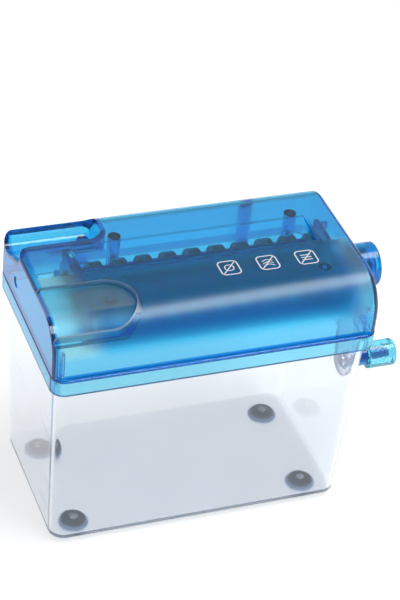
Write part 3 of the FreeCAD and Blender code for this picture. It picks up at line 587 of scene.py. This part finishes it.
def screwTree():
    # pan head with a cross recess, and a rolled thread on the shank; the head bears on z = 0
    tree, given = makeTree("screwTree", [(label, "NodeSocketFloat") for label in (
        "Head Radius", "Head Height", "Shank Radius", "Length", "Pitch", "Recess Reach", "Recess Width",
        "Recess Depth")])
    sizes = screwSizes
    headHeight, shank, length = given["Head Height"], given["Shank Radius"], given["Length"]

    def calc(kind, a, b=None):
        return mathNode(tree, kind, a, b)

    def times(*values):
        return product(tree, *values)

    def along(z, x=0.0, y=0.0):
        return put(tree, "ShaderNodeCombineXYZ", X=x, Y=y, Z=z).outputs["Vector"]

    def move(piece, offset, **more):
        moved = put(tree, "GeometryNodeTransform", Geometry=piece.outputs["Mesh"], Translation=offset, **more)
        return moved.outputs["Geometry"]

    # head: a cylinder whose top is crowned
    head = put(tree, "GeometryNodeMeshCylinder", Vertices=sizes["headSides"],
               Side_Segments=sizes["headBands"], Fill_Segments=sizes["headRings"],
               Radius=given["Head Radius"], Depth=headHeight)
    split = put(tree, "ShaderNodeSeparateXYZ",
                Vector=tree.nodes.new("GeometryNodeInputPosition").outputs["Position"])
    x, y, z = (split.outputs[axis] for axis in "XYZ")
    reach = calc("SQRT", calc("ADD", times(x, x), times(y, y)))
    share = calc("DIVIDE", reach, given["Head Radius"])
    crown = times(calc("POWER", share, sizes["crownPower"]), times(headHeight, -sizes["crownDrop"]))
    shaped = put(tree, "GeometryNodeSetPosition", Geometry=head.outputs["Mesh"],
                 Offset=along(times(crown, calc("GREATER_THAN", z, 0.0))))
    seated = put(tree, "GeometryNodeTransform", Geometry=shaped.outputs["Geometry"],
                 Translation=along(times(headHeight, 0.5)))
    # cross recess
    barSize = along(times(given["Recess Depth"], 2.0), times(given["Recess Reach"], 2.0),
                    given["Recess Width"])
    bar = put(tree, "GeometryNodeMeshCube", Size=barSize)
    cut = put(tree, "GeometryNodeMeshBoolean")
    cut.operation = "DIFFERENCE"
    cut.solver = "EXACT"
    link(tree, seated.outputs["Geometry"], cut.inputs["Mesh 1"])
    for turn in (0, math.pi / 2):
        link(tree, move(bar, along(headHeight), Rotation=(0, 0, turn)), cut.inputs["Mesh 2"])
    # shank and thread point down from the head
    core = put(tree, "GeometryNodeMeshCylinder", Vertices=sizes["coreSides"], Depth=length,
               Radius=times(shank, sizes["coreShare"]))
    threaded = times(length, sizes["threadLength"])
    spiral = put(tree, "GeometryNodeCurveSpiral", Resolution=sizes["turnSteps"], Height=threaded,
                 Rotations=calc("DIVIDE", threaded, given["Pitch"]),
                 Start_Radius=times(shank, sizes["threadStart"]), End_Radius=times(shank, sizes["threadEnd"]))
    ridge = put(tree, "GeometryNodeCurvePrimitiveCircle", Resolution=sizes["ridgeSides"],
                Radius=times(shank, sizes["threadRidge"]))
    thread = put(tree, "GeometryNodeCurveToMesh", Curve=spiral.outputs["Curve"],
                 Profile_Curve=ridge.outputs["Curve"], Fill_Caps=True)
    whole = tree.nodes.new("GeometryNodeJoinGeometry")
    for piece in (cut.outputs["Mesh"], move(core, along(times(length, -0.5))),
                  move(thread, along(times(length, -sizes["threadFoot"])))):
        link(tree, piece, whole.inputs["Geometry"])
    # one screw on each point, turned to its head's direction
    heading = tree.nodes.new("GeometryNodeInputNamedAttribute")
    heading.data_type = "FLOAT_VECTOR"
    heading.inputs["Name"].default_value = "headFaces"
    turn = put(tree, "FunctionNodeAlignRotationToVector", Vector=heading.outputs["Attribute"])
    turn.axis = "Z"
    place = put(tree, "GeometryNodeInstanceOnPoints", Points=given["Geometry"],
                Instance=whole.outputs["Geometry"], Rotation=turn.outputs["Rotation"])
    return endTree(tree, given, place.outputs["Instances"])


panScrew = screwTree()


def fitScrews(name, node, axis, body):
    # one screw for each solid of the node, its head where the node's head is
    seats, faces = [], []
    across = [i for i in range(3) if i != axis]
    for low, high in islandBoxes(node):
        centre = (low + high) / 2
        headRadius = (high - low)[across[0]] / 2
        points = [vert.co for vert in nodes[node].data.vertices
                  if all(low[i] - touch <= vert.co[i] <= high[i] + touch for i in range(3))]

        def reach(point):
            return math.hypot(*(point[i] - centre[i] for i in across))

        # the wide end of the solid is its head
        wide = [point[axis] for point in points if reach(point) > screwSizes["headEdge"] * headRadius]
        headFirst = abs(min(wide) - low[axis]) < abs(max(wide) - high[axis])
        seatAt = max(wide) if headFirst else min(wide)
        tip, outer = (high[axis], low[axis]) if headFirst else (low[axis], high[axis])
        shankRadius = max(reach(point) for point in points if abs(point[axis] - tip) < touch)
        centre[axis] = seatAt
        seats.append(centre)
        face = Vector((0, 0, 0))
        face[axis] = -1 if headFirst else 1
        faces.append(face)
        headHeight, length = abs(seatAt - outer), abs(tip - seatAt)
    values = {"Head Radius": headRadius, "Head Height": headHeight, "Shank Radius": shankRadius,
              "Length": length, "Pitch": screwSizes["pitch"],
              "Recess Reach": headRadius * screwSizes["recessReach"],
              "Recess Width": headRadius * screwSizes["recessWidth"],
              "Recess Depth": headHeight * screwSizes["recessDepth"]}
    piece = growOnPoints(name, panScrew, seats, {"headFaces": faces}, values, "screwSteel", body,
                         40)
    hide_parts(node)


fitScrews("cassette_tie_screws", "tie_screws", 0, "head")
fitScrews("comb_fixing_screws", "comb_screws", 2, "head")
fitScrews("crank_fixing_screw", "crank_screw", 0, "front_cutter")
print("screws fitted")


def ridgeTree():
    # small wedge ridges round a disc's rim
    tree, given = makeTree("rimRidgeTree", [
        ("Rim Radius", "NodeSocketFloat"), ("Disc Width", "NodeSocketFloat"), ("Ridges", "NodeSocketInt"),
        ("Ridge Height", "NodeSocketFloat"), ("Ridge Width", "NodeSocketFloat")])
    ring = put(tree, "GeometryNodeMeshCircle", Vertices=given["Ridges"], Radius=given["Rim Radius"])
    wedge = put(tree, "GeometryNodeMeshCylinder", Vertices=3, Radius=given["Ridge Width"],
                Depth=given["Disc Width"])
    lower = put(tree, "ShaderNodeCombineXYZ", Y=1.0, Z=1.0,
                X=mathNode(tree, "DIVIDE", given["Ridge Height"], given["Ridge Width"]))
    low = put(tree, "GeometryNodeTransform", Geometry=wedge.outputs["Mesh"], Scale=lower.outputs["Vector"])
    turn = put(tree, "FunctionNodeAlignRotationToVector",
               Vector=tree.nodes.new("GeometryNodeInputPosition").outputs["Position"])
    turn.axis = "X"
    onRing = put(tree, "GeometryNodeInstanceOnPoints", Points=ring.outputs["Mesh"],
                 Instance=low.outputs["Geometry"], Rotation=turn.outputs["Rotation"])
    # the ring's own axis is Z, and the discs turn about X
    tipped = put(tree, "GeometryNodeTransform", Geometry=onRing.outputs["Instances"],
                 Rotation=(0, math.pi / 2, 0))
    place = put(tree, "GeometryNodeInstanceOnPoints", Points=given["Geometry"],
                Instance=tipped.outputs["Geometry"])
    return endTree(tree, given, place.outputs["Instances"])


ridgeSizes = {"count": 72, "height": 0.00028, "width": 0.00022, "fromEdge": 0.0004}
rimRidges = ridgeTree()


def ridgeDiscs(name, node, body):
    boxes = islandBoxes(node)
    size = boxes[0][1] - boxes[0][0]
    values = {"Rim Radius": size.z / 2, "Disc Width": size.x - 2 * ridgeSizes["fromEdge"],
              "Ridges": ridgeSizes["count"], "Ridge Height": ridgeSizes["height"],
              "Ridge Width": ridgeSizes["width"]}
    centres = [(low + high) / 2 for low, high in boxes]
    growOnPoints(name, rimRidges, centres, {}, values, "cutterSteel", body, 20)


ridgeDiscs("front_disc_ridges", "front_cutter_discs", "front_cutter")
ridgeDiscs("rear_disc_ridges", "rear_cutter_discs", "rear_cutter")
print("disc rims ridged")


def joinLoops(mesh, one, two):
    # a band of faces between two rings of points
    for k in range(len(one)):
        j = (k + 1) % len(one)
        mesh.faces.new((one[k], one[j], two[j], two[k]))


def finishMesh(mesh, name):
    bmesh.ops.recalc_face_normals(mesh, faces=mesh.faces)
    plain = bpy.data.meshes.new(name)
    mesh.to_mesh(plain)
    mesh.free()
    return plain


def circlePath(cx, cy, radius, steps):
    turns = [2 * math.pi * k / steps for k in range(steps)]
    return [(cx + radius * math.cos(a), cy + radius * math.sin(a)) for a in turns]


footSizes = {  # millimetres out from the foot's middle and up from the table
    "profile": (
        (1.55, 2.96), (5.75, 2.96), (6.00, 2.86), (6.10, 2.66), (6.90, 1.16), (7.05, 1.00), (7.45, 0.96),
        (7.65, 0.80), (7.70, 0.55), (7.66, 0.20), (7.45, 0.00), (6.60, 0.00), (6.45, 0.28), (5.95, 0.28),
        (5.80, 0.00), (5.00, 0.00), (4.85, 0.28), (4.35, 0.28), (4.20, 0.00), (3.30, 0.00), (3.05, 0.20),
        (3.05, 1.40), (1.55, 1.40)),
    "steps": 56, "smooth": 35,
}


def turnFeet():
    # moulded feet with grip rings underneath and soft edges
    mesh = bmesh.new()
    for low, high in islandBoxes("rubber_feet"):
        middle = (low + high) / 2
        rings = [[mesh.verts.new((x, y, low.z + up / 1000))
                  for x, y in circlePath(middle.x, middle.y, out / 1000, footSizes["steps"])]
                 for out, up in footSizes["profile"]]
        for one, two in zip(rings, rings[1:] + rings[:1]):
            joinLoops(mesh, one, two)
    feet = newObject("table_feet", finishMesh(mesh, "table_feet"), finishes["footRubber"], "bin",
                     footSizes["smooth"])
    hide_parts("rubber_feet")


turnFeet()
print("feet fitted")

markSizes = {  # metres, and shares of a mark's width, height or line
    "centres": (-0.0016, 0.0185, 0.0387), "y": -0.0165, "width": 0.0105, "height": 0.0112, "corner": 0.0026,
    "line": 0.00062, "raise": 0.00003, "sink": 0.00002, "over": 0.000004, "cornerSteps": 8, "circleSteps": 32,
    "strike": 0.40, "strikeLine": 0.8, "ring": 0.24, "ringLine": 0.8, "rowGap": 0.17,
    "chevron": 0.26, "chevronRise": 0.06, "chevronLine": 0.7, "bar": 0.24, "barLine": 0.9,
}


def roundedPath(cx, cy, width, height, radius, steps):
    path = []
    for sx, sy, start in ((1, 1, 0), (-1, 1, 90), (-1, -1, 180), (1, -1, 270)):
        for k in range(steps + 1):
            a = math.radians(start + 90 * k / steps)
            path.append((cx + sx * (width / 2 - radius) + radius * math.cos(a),
                         cy + sy * (height / 2 - radius) + radius * math.sin(a)))
    return path


def barPath(x0, y0, x1, y1, width):
    start = math.atan2(x1 - x0, y0 - y1)
    path = []
    for cx, cy, turn in ((x0, y0, 0), (x1, y1, math.pi)):
        for k in range(5):
            a = start + turn + math.pi * k / 4
            path.append((cx + width / 2 * math.cos(a), cy + width / 2 * math.sin(a)))
    return path


def addRing(mesh, outer, inner, low, high):
    loops = [[mesh.verts.new((x, y, z)) for x, y in path]
             for path, z in ((outer, high), (inner, high), (inner, low), (outer, low))]
    for one, two in zip(loops, loops[1:] + loops[:1]):
        joinLoops(mesh, one, two)


def addPatch(mesh, path, low, high):
    bottom = [mesh.verts.new((x, y, low)) for x, y in path]
    top = [mesh.verts.new((x, y, high)) for x, y in path]
    mesh.faces.new(top)
    mesh.faces.new(bottom[::-1])
    joinLoops(mesh, bottom, top)


def makeMarks():
    # three plain printed marks: framed ring, framed chevrons, framed bars, each struck through
    sizes = markSizes
    mesh = bmesh.new()
    low, high, over = coverHigh[2] - sizes["sink"], coverHigh[2] + sizes["raise"], sizes["over"]
    width, height, line, corner = sizes["width"], sizes["height"], sizes["line"], sizes["corner"]
    cy = sizes["y"]
    for number, cx in enumerate(sizes["centres"]):
        addRing(mesh, roundedPath(cx, cy, width, height, corner, sizes["cornerSteps"]),
                roundedPath(cx, cy, width - 2 * line, height - 2 * line, corner - line, sizes["cornerSteps"]),
                low, high)
        sx, sy = width * sizes["strike"], height * sizes["strike"]
        addPatch(mesh, barPath(cx - sx, cy - sy, cx + sx, cy + sy, line * sizes["strikeLine"]), low, high)
        if number == 0:
            radius = width * sizes["ring"]
            addRing(mesh, circlePath(cx, cy, radius, sizes["circleSteps"]),
                    circlePath(cx, cy, radius - line * sizes["ringLine"], sizes["circleSteps"]),
                    low - over, high + over)
            continue
        for row in (-1, 0, 1):
            y = cy + row * height * sizes["rowGap"]
            if number == 1:
                half, rise = width * sizes["chevron"], height * sizes["chevronRise"]
                stroke = line * sizes["chevronLine"]
                addPatch(mesh, barPath(cx - half, y - rise, cx, y + rise, stroke), low, high + over)
                addPatch(mesh, barPath(cx, y + rise, cx + half, y - rise, stroke), low, high + over * 1.5)
            else:
                half = width * sizes["bar"]
                addPatch(mesh, barPath(cx - half, y, cx + half, y, line * sizes["barLine"]), low, high + over)
    newObject("cover_marks", finishMesh(mesh, "cover_marks"), finishes["markInk"], "head")


makeMarks()
print("marks printed")

studio = {
    "floorSize": 40.0, "floorColour": (0.55, 0.555, 0.565, 1), "floorShade": 0.985, "floorScale": 3.0,
    "floorDetail": 2.0, "floorRoughness": 0.9, "floorShine": 0.1, "floorGlow": 0.66,
    "worldColour": (1.0, 1.0, 1.0, 1), "worldStrength": 0.42,
    "overheadPower": 12.0, "overheadSize": (1.1, 0.4), "overheadPlace": (0.45, -0.35, 1.35),
    "overheadAim": (0, 0, 0.1), "overheadColour": (0.92, 1.0, 1.03),
    "lens": 125.03, "sensor": 36.0, "clip": (0.05, 20.0), "cameraPlace": (-0.33744, -0.76058, 0.72547),
    "cameraRight": (0.9382, -0.3346, 0.0887), "cameraUp": (0.1344, 0.5883, 0.7974),
    "clearBounces": 64, "diffuseBounces": 8, "transparentBounces": 32,
}


def addFloor():
    half = studio["floorSize"] / 2
    mesh = bpy.data.meshes.new("studio_floor")
    corners = [(-half, -half, 0), (half, -half, 0), (half, half, 0), (-half, half, 0)]
    mesh.from_pydata(corners, [], [(0, 1, 2, 3)])
    material, tree, out, shader, place = startMaterial("floorPaper")
    colour = studio["floorColour"]
    shade = tuple(studio["floorShade"] * part for part in colour[:3]) + (1,)
    cloud = noiseNode(tree, place, studio["floorScale"], studio["floorDetail"])
    link(tree, mixColour(tree, cloud, colour, shade), shader["Base Color"])
    shader["Roughness"].default_value = studio["floorRoughness"]
    shader["Specular IOR Level"].default_value = studio["floorShine"]
    shader["Emission Color"].default_value = (1.0, 1.0, 1.0, 1)
    shader["Emission Strength"].default_value = studio["floorGlow"]
    newObject("studio_floor", mesh, material)


def addLamp():
    lamp = bpy.data.lights.new("overhead", "AREA")
    lamp.shape = "RECTANGLE"
    lamp.size, lamp.size_y = studio["overheadSize"]
    lamp.energy = studio["overheadPower"]
    lamp.color = studio["overheadColour"]
    obj = newObject("overhead", lamp)
    obj.location = studio["overheadPlace"]
    aim = Vector(studio["overheadAim"]) - Vector(studio["overheadPlace"])
    obj.rotation_euler = aim.to_track_quat("-Z", "Y").to_euler()


def addWorld():
    world = bpy.data.worlds.new("studioWorld")
    world.use_nodes = True
    background = world.node_tree.nodes["Background"]
    background.inputs["Color"].default_value = studio["worldColour"]
    background.inputs["Strength"].default_value = studio["worldStrength"]
    bpy.context.scene.world = world


def addCamera():
    data = bpy.data.cameras.new("camera")
    data.sensor_width = studio["sensor"]
    data.lens = studio["lens"]
    data.clip_start, data.clip_end = studio["clip"]
    camera = newObject("camera", data)
    up = Vector(studio["cameraUp"])
    back = Vector(studio["cameraRight"]).cross(up).normalized()
    turned = Matrix((up.cross(back).normalized(), up, back)).transposed().to_4x4()
    turned.translation = Vector(studio["cameraPlace"])
    camera.matrix_world = turned
    bpy.context.scene.camera = camera


addFloor()
addWorld()
addLamp()
addCamera()
scene = bpy.context.scene
scene.view_settings.view_transform = "Standard"
cycles = scene.cycles
cycles.max_bounces = cycles.transmission_bounces = cycles.glossy_bounces = studio["clearBounces"]
cycles.diffuse_bounces = studio["diffuseBounces"]
cycles.transparent_max_bounces = studio["transparentBounces"]
print("studio ready")
